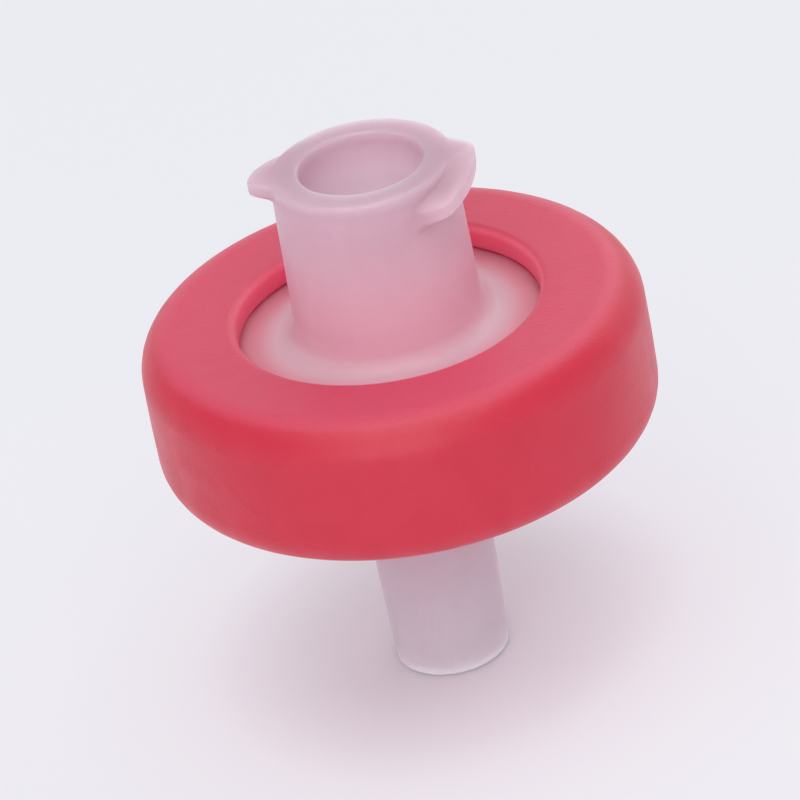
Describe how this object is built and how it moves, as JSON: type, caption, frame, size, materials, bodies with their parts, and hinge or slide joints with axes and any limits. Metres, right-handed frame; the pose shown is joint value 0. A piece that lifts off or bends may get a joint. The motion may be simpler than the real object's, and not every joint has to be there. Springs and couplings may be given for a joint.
{
  "type": "syringe filter",
  "caption": "Disposable syringe filter: a red ring moulded round natural plastic halves that clamp a membrane, with a Luer lock inlet above and a Luer slip outlet below.",
  "frame": {"origin": "centre of the outlet's end face, which is the lowest face", "axes": "+Z along the flow axis from the outlet up to the inlet, as the filter hangs under a syringe; the two lock lugs lie on the X axis"},
  "size_m": [0.0176, 0.0176, 0.0196],
  "materials": {
    "natural_polypropylene": "satin, translucent",
    "red_polypropylene": "satin",
    "filter_membrane": "matte, microporous"
  },
  "bodies": {
    "root": {"outlet_housing": "natural_polypropylene", "membrane": "filter_membrane", "inlet_housing": "natural_polypropylene", "overmold_ring": "red_polypropylene"}
  },
  "joints": []
}
